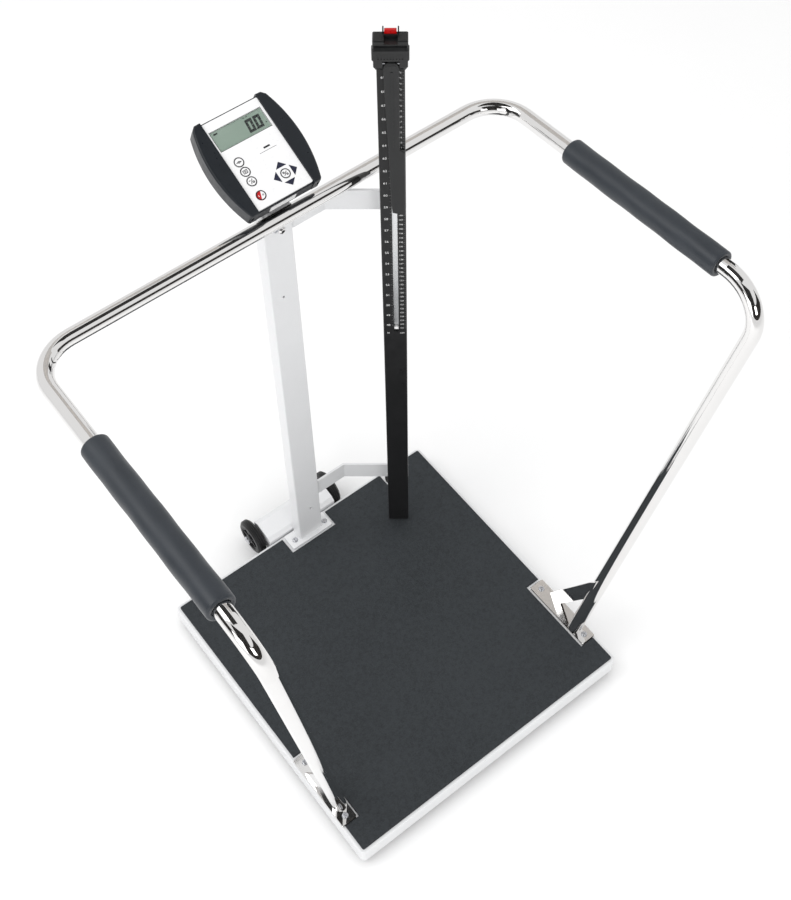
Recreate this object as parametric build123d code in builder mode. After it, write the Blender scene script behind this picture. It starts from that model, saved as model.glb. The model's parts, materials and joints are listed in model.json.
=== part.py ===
from build123d import *
import os
from math import cos, sin, radians

os.makedirs("parts", exist_ok=True)

# Stand-on platform scale with a wrap-around handrail, a column with a tilting
# indicator, a telescoping height rod and a pair of transport wheels.
# Frame: +Z up, +X to the right of a person facing the column, +Y towards the
# column. Origin on the floor under the middle of the platform. Millimetres.

# ---------------------------------------------------------------- dimensions
plat_w, plat_d = 579.0, 583.0        # outer size of the platform cover
plat_z0, plat_z1 = 15.0, 52.7        # skirt bottom, cover top
cover_t, skirt_t = 2.5, 2.0
mat_w, mat_d, mat_t = 567.0, 571.0, 4.0
mat_top = plat_z1 + mat_t            # 56.7

col_x, col_w, col_d = 4.0, 50.8, 25.4
col_front = 262.0                    # front face of the column
col_z0, col_z1 = 58.7, 990.0
col_wall = 2.0
col_y = col_front + col_d / 2

tube_r, tube_wall = 12.7, 1.6
rail_y, rail_z = 247.6, 978.0        # straight rear run of the handrail
rail_x = 410.0
front_x, front_y, front_z = 415.0, -309.0, 1010.0
foot_x, foot_y, foot_z = 270.0, -200.0, 59.4
bend_r = 65.0
grip_r = 20.9

rod_x, rod_y, rod_yaw = 153.7, 180.0, -38.1
rod_w, rod_depth, rod_wall = 38.0, 18.0, 2.6
rod_z0, rod_z1 = 67.0, 1227.2
slot_x, slot_w = 2.0, 8.0            # window down the rod's face
slot_z0 = 659.0
arm_y, arm_t, arm_h = 33.5, 4.0, 41.0
arm_lo_z, arm_hi_z = 168.0, 917.5
travel = 540.0                       # height rod extension

wheel_r, wheel_w, wheel_x = 36.5, 18.0, 89.5   # wheels stand either side of the column's x
wheel_y, wheel_z = 334.0, 41.0
pin_y, pin_z = -4.6, 1239.5          # paddle hinge, in the rod's own axes

ind_x, ind_y, ind_z, ind_tilt = 7.1, 301.0, 1063.7, 25.5
face_w, face_h = 93.8, 146.8
lcd_x, lcd_y, lcd_w, lcd_h = -0.6, 42.3, 86.4, 31.8

# --------------------------------------------------------- reference planes
c, s = cos(radians(rod_yaw)), sin(radians(rod_yaw))
def rod_plane(z):
    # local x across the rod's face, local y towards its back, z up
    return Plane(origin=(rod_x, rod_y, z), x_dir=(c, s, 0), z_dir=(0, 0, 1))

def rod_face(y):
    # local x across the face, local y up, normal out of the face
    return Plane(origin=(rod_x - s * y, rod_y + c * y, 0), x_dir=(c, s, 0), z_dir=(s, -c, 0))

ti, tc = sin(radians(ind_tilt)), cos(radians(ind_tilt))
def ind_plane(h):
    # plane parallel to the indicator's face, h above it
    return Plane(origin=(ind_x, ind_y - ti * h, ind_z + tc * h), x_dir=(1, 0, 0), z_dir=(0, -ti, tc))

col_notch = dict(x0=-49.0, x1=53.0, y0=250.0)
foot_notch = dict(x0=254.6, y0=-235.0, y1=-82.0)
level_notch = dict(x0=187.0, x1=226.0, y0=246.0)
level_xy = (206.5, 266.0)

made = []
def keep(builder, name):
    builder.part.label = name
    export_step(builder.part, "parts/" + name + ".step")
    made.append(name)

# ================================================================= platform
# pressed steel cover: top plate with a turned-down skirt, open underneath
with BuildPart() as platform_cover:
    with BuildSketch(Plane.XY.offset(plat_z0)):
        RectangleRounded(plat_w, plat_d, 9)
    extrude(amount=plat_z1 - plat_z0)
    fillet(platform_cover.faces().sort_by(Axis.Z)[-1].edges(), 2.0)
    with BuildSketch(Plane.XY.offset(plat_z0)):
        RectangleRounded(plat_w - 2 * skirt_t, plat_d - 2 * skirt_t, 7)
    extrude(amount=plat_z1 - plat_z0 - cover_t, mode=Mode.SUBTRACT)
    # cable outlet at the back and socket cut-out for the level
    with BuildSketch(Plane.XZ.offset(-plat_d / 2 - 1)):
        with Locations((col_x, 34)):
            Circle(7)
    extrude(amount=6, mode=Mode.SUBTRACT)
    with Locations((level_xy[0], level_xy[1], plat_z1)):
        Hole(13.3)
    # screw holes for the column plate and the handrail plates
    with Locations((col_x - 34.6, 268, plat_z1), (col_x + 34.6, 268, plat_z1),
                   (273.5, -103, plat_z1), (273.5, -221, plat_z1),
                   (-273.5, -103, plat_z1), (-273.5, -221, plat_z1)):
        Hole(3.15)
keep(platform_cover, "platform_cover")

# ribbed rubber mat with cut-outs for the column plate, handrail plates and level
with BuildPart() as platform_mat:
    with BuildSketch(Plane.XY.offset(plat_z1)):
        RectangleRounded(mat_w, mat_d, 3)
        with Locations(((col_notch["x0"] + col_notch["x1"]) / 2, (col_notch["y0"] + mat_d / 2 + 2) / 2)):
            Rectangle(col_notch["x1"] - col_notch["x0"], mat_d / 2 + 2 - col_notch["y0"], mode=Mode.SUBTRACT)
        for sx in (-1, 1):
            with Locations((sx * (foot_notch["x0"] + mat_w / 2 + 2) / 2, (foot_notch["y0"] + foot_notch["y1"]) / 2)):
                Rectangle(mat_w / 2 + 2 - foot_notch["x0"], foot_notch["y1"] - foot_notch["y0"], mode=Mode.SUBTRACT)
        with Locations(((level_notch["x0"] + level_notch["x1"]) / 2, (level_notch["y0"] + mat_d / 2 + 2) / 2)):
            Rectangle(level_notch["x1"] - level_notch["x0"], mat_d / 2 + 2 - level_notch["y0"], mode=Mode.SUBTRACT)
    extrude(amount=mat_t)
    chamfer(platform_mat.faces().sort_by(Axis.Z)[-1].edges(), 0.8)
keep(platform_mat, "platform_mat")

# welded sub-frame under the cover: two long rails and two cross rails
with BuildPart() as sub_frame:
    with BuildSketch(Plane.XY.offset(25)):
        with GridLocations(440, 0, 2, 1):
            Rectangle(50, 490)
        with GridLocations(0, 330, 1, 2):
            Rectangle(500, 40)
    extrude(amount=25)
    with BuildSketch(Plane.XY.offset(23)):
        with GridLocations(440, 400, 2, 2):
            Rectangle(30, 130)
    extrude(amount=14, mode=Mode.SUBTRACT)
    with BuildSketch(Plane.XY.offset(24)):
        with GridLocations(0, 330, 1, 2):
            Rectangle(360, 32)
    extrude(amount=22, mode=Mode.SUBTRACT)
keep(sub_frame, "sub_frame")

# four bar load cells, one near each corner, with the usual through window
with BuildPart() as load_cells:
    with BuildSketch(Plane.XY.offset(25)):
        with GridLocations(440, 400, 2, 2):
            Rectangle(24, 110)
        with GridLocations(440, 486, 2, 2):
            Circle(5.4, mode=Mode.SUBTRACT)
    extrude(amount=12)
    with BuildSketch(Plane.YZ.offset(-260)):
        with Locations((-200, 31), (200, 31)):
            SlotOverall(40, 7)
    extrude(amount=520, mode=Mode.SUBTRACT)
keep(load_cells, "load_cells")

# levelling feet: rubber pad on a threaded stem; each screws in and out
for ix, sx in enumerate((-1, 1)):
    for iy, sy in enumerate((-1, 1)):
        with BuildPart() as levelling_foot:
            with Locations((sx * 220, sy * 243, 0)):
                with Locations((0, 0, 0)):
                    Cylinder(19, 6, align=(Align.CENTER, Align.CENTER, Align.MIN))
                with Locations((0, 0, 6)):
                    Cone(17, 9, 4, align=(Align.CENTER, Align.CENTER, Align.MIN))
                with Locations((0, 0, 10)):
                    Cylinder(5, 25, align=(Align.CENTER, Align.CENTER, Align.MIN))
        name = "levelling_foot_" + ("back" if sy > 0 else "front") + ("_left" if sx < 0 else "_right")
        keep(levelling_foot, name)

# round bubble level set into the cover: holder ring and lens
with BuildPart() as level_holder:
    with BuildSketch(Plane.XY.offset(44)):
        with Locations(level_xy):
            Circle(13)
    extrude(amount=plat_z1 + 2.2 - 44)
    with BuildSketch(Plane.XY.offset(plat_z1)):
        with Locations(level_xy):
            Circle(16)
            Circle(12.5, mode=Mode.SUBTRACT)
    extrude(amount=2.2)
    with BuildSketch(Plane.XY.offset(46)):
        with Locations(level_xy):
            Circle(10.4)
    extrude(amount=20, mode=Mode.SUBTRACT)
    chamfer(level_holder.faces().sort_by(Axis.Z)[-1].edges(), 0.5)
keep(level_holder, "level_holder")

with BuildPart() as level_vial:
    with BuildSketch(Plane.XY.offset(46.2)):
        with Locations(level_xy):
            Circle(10.0)
    extrude(amount=8.3)
    fillet(level_vial.faces().sort_by(Axis.Z)[-1].edges(), 1.2)
keep(level_vial, "level_vial")

# =================================================================== column
# foot plate welded under the column, screwed to the cover
with BuildPart() as column_plate:
    with BuildSketch(Plane.XY.offset(plat_z1)):
        with Locations((2, 271)):
            RectangleRounded(92, 34, 3)
    extrude(amount=col_z0 - plat_z1)
    chamfer(column_plate.faces().sort_by(Axis.Z)[-1].edges(), 0.8)
    with Locations((col_x - 34.6, 268, col_z0), (col_x + 34.6, 268, col_z0)):
        Hole(3.15)
    with Locations((col_x, col_y, col_z0)):
        Box(30, 14, 20, mode=Mode.SUBTRACT)
keep(column_plate, "column_plate")

# rectangular steel tube
with BuildPart() as column_tube:
    with BuildSketch(Plane.XY.offset(col_z0)):
        with Locations((col_x, col_y)):
            RectangleRounded(col_w, col_d, 2.4)
            RectangleRounded(col_w - 2 * col_wall, col_d - 2 * col_wall, 1.0, mode=Mode.SUBTRACT)
    extrude(amount=col_z1 - col_z0)
    # plug hole and screw hole in the front face
    with BuildSketch(Plane.XZ.offset(-col_front + 1)):
        with Locations((col_x + 4, 147), (col_x - 3, 785)):
            Circle(2.2)
        with Locations((col_x - 4, 941)):
            Circle(2.6)
    extrude(amount=-6, mode=Mode.SUBTRACT)
    # holes for the arm bolts in the right wall
    with BuildSketch(Plane.YZ.offset(col_x + col_w / 2 - 4)):
        with Locations((col_y + 6, arm_lo_z + 11), (col_y + 6, arm_lo_z + 30),
                       (col_y + 6, arm_hi_z + 11), (col_y + 6, arm_hi_z + 30)):
            Circle(2.6)
    extrude(amount=6, mode=Mode.SUBTRACT)
keep(column_tube, "column_tube")

# pressed-in plastic cap with the socket for the tilt bracket
with BuildPart() as column_cap:
    with BuildSketch(Plane.XY.offset(col_z1)):
        with Locations((col_x, col_y)):
            RectangleRounded(col_w, col_d, 2.4)
    extrude(amount=4)
    chamfer(column_cap.faces().sort_by(Axis.Z)[-1].edges(), 1.0)
    with BuildSketch(Plane.XY.offset(col_z1)):
        with Locations((col_x, col_y)):
            RectangleRounded(col_w - 2 * col_wall - 0.4, col_d - 2 * col_wall - 0.4, 0.9)
    extrude(amount=-22)
    with BuildSketch(Plane.XY.offset(col_z1 - 23)):
        with Locations((col_x, col_y)):
            Rectangle(col_w - 10, col_d - 10)
    extrude(amount=20, mode=Mode.SUBTRACT)
keep(column_cap, "column_cap")

# saddle between the handrail's rear run and the column, with its screw
with BuildPart() as rail_saddle:
    with Locations((col_x, col_front - 5, rail_z)):
        Box(40, 10, 22)
    fillet(rail_saddle.edges().filter_by(Axis.Y), 3)
    with Locations((col_x, rail_y, rail_z)):
        Cylinder(tube_r + 0.02, 80, rotation=(0, 90, 0), mode=Mode.SUBTRACT)
keep(rail_saddle, "rail_saddle")

# button-head socket screws: column plate, handrail plates and column front
plate_screw_xy = [(col_x - 34.6, 268.0, col_z0), (col_x + 34.6, 268.0, col_z0)] + [
    (sx * 273.5, y, plat_z1 + 6.4) for sx in (-1, 1) for y in (-103.0, -221.0)]
with BuildPart() as plate_screws:
    for x, y, z in plate_screw_xy:
        with BuildSketch(Plane.XZ.offset(-y)):
            with BuildLine():
                Polyline((x, z + 1.2), (x, z + 2.8), (x + 3.2, z + 2.8))
                ThreePointArc((x + 3.2, z + 2.8), (x + 4.9, z + 1.9), (x + 5.6, z))
                Polyline((x + 5.6, z), (x + 2.9, z), (x + 2.9, z - 12), (x, z - 12), (x, z + 1.2))
            make_face()
        revolve(axis=Axis((x, y, 0), (0, 0, 1)))
        with BuildSketch(Plane.XY.offset(z + 2.8)):
            with Locations((x, y)):
                RegularPolygon(1.9, 6)
        extrude(amount=-1.6, mode=Mode.SUBTRACT)
    with BuildSketch(Plane.XY.offset(941)):
        with BuildLine():
            sx0, sy0 = col_x - 4, col_front
            Polyline((sx0, sy0 - 2.8), (sx0 + 3.0, sy0 - 2.8))
            ThreePointArc((sx0 + 3.0, sy0 - 2.8), (sx0 + 4.6, sy0 - 1.9), (sx0 + 5.2, sy0))
            Polyline((sx0 + 5.2, sy0), (sx0 + 2.4, sy0), (sx0 + 2.4, sy0 + 9), (sx0, sy0 + 9), (sx0, sy0 - 2.8))
        make_face()
    revolve(axis=Axis((sx0, 0, 941), (0, 1, 0)))
    with BuildSketch(Plane.XZ.offset(-col_front + 2.8)):
        with Locations((sx0, 941)):
            RegularPolygon(1.8, 6)
    extrude(amount=-1.6, mode=Mode.SUBTRACT)
keep(plate_screws, "plate_screws")

# ================================================================= handrail
# one bent tube: up from each foot plate, back along both sides and across the rear
with BuildPart() as handrail_tube:
    with BuildLine() as rail_path:
        FilletPolyline(
            (-foot_x, foot_y, foot_z),
            (-front_x, front_y, front_z),
            (-rail_x, rail_y, rail_z),
            (rail_x, rail_y, rail_z),
            (front_x, front_y, front_z),
            (foot_x, foot_y, foot_z),
            radius=bend_r,
        )
    with BuildSketch(Plane(origin=rail_path.line @ 0, z_dir=rail_path.line % 0)):
        Circle(tube_r)
        Circle(tube_r - tube_wall, mode=Mode.SUBTRACT)
    sweep(path=rail_path.line)
    # tube ends cut level with the foot plates
    with Locations((0, -200, foot_z)):
        Box(700, 200, 60, align=(Align.CENTER, Align.CENTER, Align.MAX), mode=Mode.SUBTRACT)
keep(handrail_tube, "handrail_tube")

side_dir = Vector(front_x - rail_x, front_y - rail_y, front_z - rail_z)
def side_point(sx, y):
    t = (y - rail_y) / (front_y - rail_y)
    return Vector(sx * (rail_x + t * (front_x - rail_x)), y, rail_z + t * (front_z - rail_z))

# closed-cell foam sleeves pushed over the two side runs
for sx, tag, y0, y1 in ((-1, "left", 68.0, -231.0), (1, "right", 82.0, -219.0)):
    p0, p1 = side_point(sx, y0), side_point(sx, y1)
    with BuildPart() as grip:
        with BuildSketch(Plane(origin=p0, z_dir=p1 - p0)):
            Circle(grip_r)
        extrude(amount=(p1 - p0).length)
        fillet(grip.edges(), 3.0)
        with BuildSketch(Plane(origin=p0 - (p1 - p0).normalized() * 5, z_dir=p1 - p0)):
            Circle(tube_r + 0.35)
        extrude(amount=(p1 - p0).length + 10, mode=Mode.SUBTRACT)
    keep(grip, "grip_" + tag)

leg_dir = Vector(front_x - foot_x, front_y - foot_y, front_z - foot_z)
for sx, tag in ((-1, "left"), (1, "right")):
    # chromed foot plate under each leg
    with BuildPart() as foot_plate:
        with BuildSketch(Plane.XY.offset(plat_z1)):
            with Locations((sx * 273.4, -161)):
                RectangleRounded(31, 147, 3)
        extrude(amount=6.4)
        chamfer(foot_plate.faces().sort_by(Axis.Z)[-1].edges(), 0.8)
        with Locations((sx * 273.5, -103, plat_z1 + 6.4), (sx * 273.5, -221, plat_z1 + 6.4)):
            Hole(3.15)
        # flat brace bar welded to the plate and running up to the leg
        with BuildSketch(Plane.YZ.offset(sx * 283 - 2)):
            with BuildLine():
                Polyline((-119, plat_z1 + 6), (-147, plat_z1 + 6), (-206, 168), (-230, 205), (-230, 262), (-205, 226), close=True)
            make_face()
        extrude(amount=4)
        with BuildSketch(Plane(origin=(sx * foot_x, foot_y, foot_z), z_dir=(sx * leg_dir.X, leg_dir.Y, leg_dir.Z))):
            Circle(tube_r + 0.05)
        extrude(amount=260, mode=Mode.SUBTRACT)
        # everything beyond the leg goes
        with BuildSketch(Plane.YZ.offset(sx * 283 - 20)):
            with BuildLine():
                Polyline((-208.5, 100), (-219.5, 300), (-260, 300), (-260, 100), close=True)
            make_face()
        extrude(amount=40, mode=Mode.SUBTRACT)
    keep(foot_plate, "foot_plate_" + tag)

# ================================================================= rod arms
def rod_point(x, y):
    return (rod_x + c * x - s * y, rod_y + s * x + c * y)

col_side = col_x + col_w / 2
for tag, z0 in (("lower", arm_lo_z), ("upper", arm_hi_z)):
    # flat bar: turned flange on the column, straight out, then across behind the rod
    with BuildPart() as arm:
        with BuildSketch(Plane.XY.offset(z0)):
            with BuildLine():
                FilletPolyline(
                    (col_side + arm_t / 2, col_y + 12),
                    (col_side + arm_t / 2, rod_point(-103, arm_y)[1]),
                    rod_point(-103, arm_y),
                    rod_point(19, arm_y),
                    radius=5,
                )
            trace(line_width=arm_t)
        extrude(amount=arm_h)
        with BuildSketch(Plane.YZ.offset(col_side - 1)):
            with Locations((col_y + 6, z0 + 11), (col_y + 6, z0 + 30)):
                Circle(2.6)
        extrude(amount=6, mode=Mode.SUBTRACT)
        with BuildSketch(rod_face(arm_y - arm_t / 2 - 1)):
            with Locations((0, z0 + 11), (0, z0 + 30)):
                Circle(2.6)
        extrude(amount=-7, mode=Mode.SUBTRACT)
    keep(arm, "rod_arm_" + tag)

# spacer blocks between the arms and the back of the rod
with BuildPart() as rod_spacers:
    for z0 in (arm_lo_z, arm_hi_z):
        with BuildSketch(rod_plane(z0 + 3)):
            with Locations((0, (rod_depth + arm_y - arm_t / 2) / 2)):
                RectangleRounded(26, arm_y - arm_t / 2 - rod_depth, 2)
        extrude(amount=arm_h - 6)
    with BuildSketch(rod_face(rod_depth - 1)):
        with Locations((0, arm_lo_z + 11), (0, arm_lo_z + 30), (0, arm_hi_z + 11), (0, arm_hi_z + 30)):
            Circle(2.6)
    extrude(amount=-30, mode=Mode.SUBTRACT)
keep(rod_spacers, "rod_spacers")

# pan-head screws: through the arms into the column, and into the rod's back
screw_z = [arm_lo_z + 11, arm_lo_z + 30, arm_hi_z + 11, arm_hi_z + 30]
with BuildPart() as arm_screws:
    with BuildSketch(Plane.YZ.offset(col_side + arm_t)):
        with Locations(*[(col_y + 6, z) for z in screw_z]):
            Circle(4.2)
    extrude(amount=2.6)
    with BuildSketch(Plane.YZ.offset(col_side + arm_t)):
        with Locations(*[(col_y + 6, z) for z in screw_z]):
            Circle(2.4)
    extrude(amount=-8)
    with BuildSketch(rod_face(arm_y + arm_t / 2)):
        with Locations(*[(0, z) for z in screw_z]):
            Circle(4.2)
    extrude(amount=-2.6)
    with BuildSketch(rod_face(arm_y + arm_t / 2)):
        with Locations(*[(0, z) for z in screw_z]):
            Circle(2.4)
    extrude(amount=arm_y + arm_t / 2 - rod_depth + 2.0)
keep(arm_screws, "arm_screws")

# =============================================================== height rod
# black outer extrusion with a window down its face; it carries the graduations
with BuildPart() as rod_outer:
    with BuildSketch(rod_plane(rod_z0)):
        with Locations((0, rod_depth / 2)):
            RectangleRounded(rod_w, rod_depth, 2.0)
            RectangleRounded(rod_w - 2 * rod_wall, rod_depth - 2 * rod_wall, 0.8, mode=Mode.SUBTRACT)
    extrude(amount=rod_z1 - rod_z0)
    with BuildSketch(rod_face(-1)):
        with Locations((slot_x, (slot_z0 + rod_z1 - 10) / 2)):
            SlotOverall(rod_z1 - 10 - slot_z0, slot_w, rotation=90)
    extrude(amount=-(rod_wall + 2), mode=Mode.SUBTRACT)
    with BuildSketch(rod_face(rod_depth + 1)):
        with Locations((0, arm_lo_z + 11), (0, arm_lo_z + 30), (0, arm_hi_z + 11), (0, arm_hi_z + 30)):
            Circle(2.6)
    extrude(amount=rod_wall + 2, mode=Mode.SUBTRACT)
keep(rod_outer, "rod_outer")

with BuildPart() as rod_foot_cap:
    with BuildSketch(rod_plane(rod_z0 + 8)):
        with Locations((0, rod_depth / 2)):
            Rectangle(rod_w - 2 * rod_wall - 0.6, rod_depth - 2 * rod_wall - 0.6)
    extrude(amount=-8)
    with BuildSketch(rod_plane(rod_z0)):
        with Locations((0, rod_depth / 2)):
            RectangleRounded(rod_w, rod_depth, 2.0)
    extrude(amount=-3)
keep(rod_foot_cap, "rod_foot_cap")

# guide bush in the top of the outer extrusion
bar_w, bar_d, bar_y = 22.0, 8.0, 9.0
with BuildPart() as rod_top_bush:
    with BuildSketch(rod_plane(rod_z1 - 9)):
        with Locations((0, rod_depth / 2)):
            Rectangle(rod_w - 2 * rod_wall - 0.6, rod_depth - 2 * rod_wall - 0.6)
        with Locations((slot_x, bar_y)):
            Rectangle(bar_w + 0.5, bar_d + 0.5, mode=Mode.SUBTRACT)
    extrude(amount=9)
keep(rod_top_bush, "rod_top_bush")

# bright inner bar that slides inside the extrusion and carries the head
with BuildPart() as rod_inner_bar:
    with BuildSketch(rod_plane(545)):
        with Locations((slot_x, bar_y)):
            RectangleRounded(bar_w, bar_d, 0.8)
    extrude(amount=1240 - 545)
keep(rod_inner_bar, "rod_inner_bar")

# sliding block on the bar's lower end
with BuildPart() as rod_slide_block:
    with BuildSketch(rod_plane(528)):
        with Locations((0, rod_depth / 2)):
            RectangleRounded(rod_w - 2 * rod_wall - 0.7, rod_depth - 2 * rod_wall - 0.7, 0.6)
    extrude(amount=46)
    with BuildSketch(rod_plane(545)):
        with Locations((slot_x, bar_y)):
            RectangleRounded(bar_w + 0.04, bar_d + 0.04, 0.8)
    extrude(amount=40, mode=Mode.SUBTRACT)
keep(rod_slide_block, "rod_slide_block")

# white reading mark fixed to the bar, seen through the window
with BuildPart() as rod_pointer:
    with BuildSketch(rod_face(1.0)):
        with Locations((slot_x, 667)):
            RectangleRounded(slot_w - 1.2, 6, 1)
    extrude(amount=-(bar_y - bar_d / 2 - 1.0))
keep(rod_pointer, "rod_pointer")

# head moulding on top of the bar, slotted at the front for the measuring paddle
def head_box(x0, x1, y0, y1):
    return Locations(((x0 + x1) / 2, (y0 + y1) / 2)), (x1 - x0, y1 - y0)

with BuildPart() as head_block:
    # upper body
    with BuildSketch(rod_plane(1246)):
        loc, size = head_box(-23.2, 23.6, -5.5, 15.5)
        with loc:
            RectangleRounded(*size, 2)
    extrude(amount=31)
    chamfer(head_block.faces().sort_by(Axis.Z)[-1].edges(), 1.4)
    # lower sleeve, drawn in at the bottom
    with BuildSketch(rod_plane(1234)):
        loc, size = head_box(-22.8, 23.2, -7.8, 18.6)
        with loc:
            RectangleRounded(*size, 2.6)
    extrude(amount=17)
    with BuildSketch(rod_plane(1234)):
        loc, size = head_box(-22.8, 23.2, -7.8, 18.6)
        with loc:
            RectangleRounded(*size, 2.6)
    extrude(amount=-6.5, taper=28)
    # thumb band across the front, with grip grooves
    with BuildSketch(rod_plane(1248)):
        loc, size = head_box(-24.7, 25.1, -10.6, 3.5)
        with loc:
            RectangleRounded(*size, 3.4)
    extrude(amount=16.6)
    with BuildSketch(rod_plane(1264.6)):
        loc, size = head_box(-24.7, 25.1, -10.6, 3.5)
        with loc:
            RectangleRounded(*size, 3.4)
    extrude(amount=3.4, taper=40)
    with BuildSketch(rod_face(-11.4)):
        with Locations(*[(0.2 + 4.0 * k, 1256) for k in range(-4, 5)]):
            SlotOverall(11, 1.6, rotation=90)
    extrude(amount=-1.6, mode=Mode.SUBTRACT)
    # recess for the paddle's hub
    with BuildSketch(rod_plane(1226)):
        loc, size = head_box(-10.5, 12.1, -11.5, 0.2)
        with loc:
            Rectangle(*size)
    extrude(amount=18.6, mode=Mode.SUBTRACT)
    # socket for the inner bar
    with BuildSketch(rod_plane(1226)):
        with Locations((slot_x, bar_y)):
            RectangleRounded(bar_w + 0.04, bar_d + 0.04, 0.8)
    extrude(amount=14.4, mode=Mode.SUBTRACT)
    # channel across the top, open to the front
    with BuildSketch(rod_plane(1271.5)):
        loc, size = head_box(-8.4, 10.0, -7.0, 7.0)
        with loc:
            Rectangle(*size)
    extrude(amount=8, mode=Mode.SUBTRACT)
    # two guard prongs either side of the tab
    with BuildSketch(rod_plane(1270)):
        with Locations((-9.3, 13.0), (10.9, 13.0)):
            RectangleRounded(1.8, 4.6, 0.5)
    extrude(amount=15.4)
    # pocket for the release tab
    with BuildSketch(rod_plane(1258)):
        loc, size = head_box(-8.1, 8.9, 9.7, 14.3)
        with loc:
            Rectangle(*size)
    extrude(amount=30, mode=Mode.SUBTRACT)
    # pin bore
    with BuildSketch(Plane(origin=(rod_point(-40, pin_y)[0], rod_point(-40, pin_y)[1], pin_z), z_dir=(c, s, 0))):
        Circle(1.62)
    extrude(amount=80, mode=Mode.SUBTRACT)
keep(head_block, "head_block")

# red tab that frees the bar when pressed
with BuildPart() as release_tab:
    with BuildSketch(rod_plane(1263.5)):
        with Locations((0.4, 12.0)):
            RectangleRounded(16.2, 3.9, 0.7)
    extrude(amount=20.2)
    fillet(release_tab.faces().sort_by(Axis.Z)[-1].edges(), 0.9)
keep(release_tab, "release_tab")

with BuildPart() as paddle_pin:
    with BuildSketch(Plane(origin=(rod_point(-22.2, pin_y)[0], rod_point(-22.2, pin_y)[1], pin_z), z_dir=(c, s, 0))):
        Circle(1.60)
    extrude(amount=44.8)
keep(paddle_pin, "paddle_pin")

# measuring paddle, hanging folded in front of the rod; its top end is rounded
with BuildPart() as head_paddle:
    with BuildSketch(rod_face(-1.0)) as paddle_face:
        with BuildLine():
            Polyline((-9.7, 1233.0), (-9.2, 1197), (-4.4, 1060), (-2.7, 978), (-0.8, 950),
                     (18.2, 943.6), (18.2, 1074), (11.3, 1080), (11.3, 1233.0))
            ThreePointArc((11.3, 1233.0), (0.8, pin_z + 4.0), (-9.7, 1233.0))
        make_face()
    extrude(amount=5.2)
    fillet(head_paddle.faces().filter_by(lambda f: abs(f.normal_at().Z) < 0.1).sort_by(Axis((rod_x, rod_y, 0), (s, -c, 0)))[-1].edges(), 1.4)
    # above the pin only the round hub is left, so the top turns freely in its recess
    with BuildSketch(rod_plane(pin_z)):
        with Locations((0.8, pin_y)):
            Rectangle(40, 20)
    extrude(amount=12, mode=Mode.SUBTRACT)
    with BuildSketch(Plane(origin=(rod_point(-9.7, pin_y)[0], rod_point(-9.7, pin_y)[1], pin_z), z_dir=(c, s, 0))):
        Circle(4.0)
    extrude(amount=21.0)
    # nothing stands beyond the rounded outline
    with BuildSketch(rod_face(6.0)):
        add(paddle_face.sketch_local)
    extrude(amount=20, mode=Mode.INTERSECT)
    # low rib down the middle of the blade
    with BuildSketch(rod_face(-6.2)):
        with Locations((1.4, 1150)):
            SlotOverall(150, 3.0, rotation=90)
    extrude(amount=0.9)
    with BuildSketch(Plane(origin=(rod_point(-40, pin_y)[0], rod_point(-40, pin_y)[1], pin_z), z_dir=(c, s, 0))):
        Circle(1.66)
    extrude(amount=80, mode=Mode.SUBTRACT)
keep(head_paddle, "head_paddle")

# ========================================================= transport wheels
# folded bracket behind the platform: rising top plate, rear lip and two cheeks
br_x0, br_x1 = col_x - 76.5, col_x + 76.5
with BuildPart() as wheel_bracket:
    with BuildSketch(Plane.YZ.offset(br_x0)):
        with BuildLine():
            Polyline((292.5, 22), (292.5, 60), (300, 67), (333, 74.4), (346, 66), (346, 44),
                     (343, 44), (343, 64.4), (332.4, 71.2), (301.4, 64.2), (295.5, 58.7), (295.5, 22), close=True)
        make_face()
    extrude(amount=br_x1 - br_x0)
    for x in (br_x0, br_x1 - 3):
        with BuildSketch(Plane.YZ.offset(x)):
            with BuildLine():
                Polyline((295, 22), (295, 59), (300.8, 65.6), (332.7, 72.8), (344.5, 65.2), (344.5, 30), (328, 22), close=True)
            make_face()
        extrude(amount=3)
    with BuildSketch(Plane.YZ.offset(br_x0 - 10)):
        with Locations((wheel_y, wheel_z)):
            Circle(5.05)
    extrude(amount=br_x1 - br_x0 + 20, mode=Mode.SUBTRACT)
keep(wheel_bracket, "wheel_bracket")

with BuildPart() as wheel_axle:
    with BuildSketch(Plane.YZ.offset(col_x - wheel_x - 14)):
        with Locations((wheel_y, wheel_z)):
            Circle(5.0)
    extrude(amount=2 * (wheel_x + 14))
    # shoulders against the bracket and push-on end caps outside the wheels
    gap_in = (wheel_x - wheel_w / 2 - 0.6) - 76.5 - 0.1
    cap_in = wheel_w / 2 + 2.0
    for x, r, w in ((br_x0 - 0.1 - gap_in, 8, gap_in), (br_x1 + 0.1, 8, gap_in),
                    (col_x - wheel_x - cap_in - 4.4, 8, 4.4), (col_x + wheel_x + cap_in, 8, 4.4)):
        with BuildSketch(Plane.YZ.offset(x)):
            with Locations((wheel_y, wheel_z)):
                Circle(r)
        extrude(amount=w)
    caps = wheel_axle.edges().filter_by(GeomType.CIRCLE).filter_by(lambda e: abs(e.radius - 8) < 0.01).sort_by(Axis.X)
    chamfer([caps[0], caps[-1]], 1.3)
keep(wheel_axle, "wheel_axle")

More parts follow.
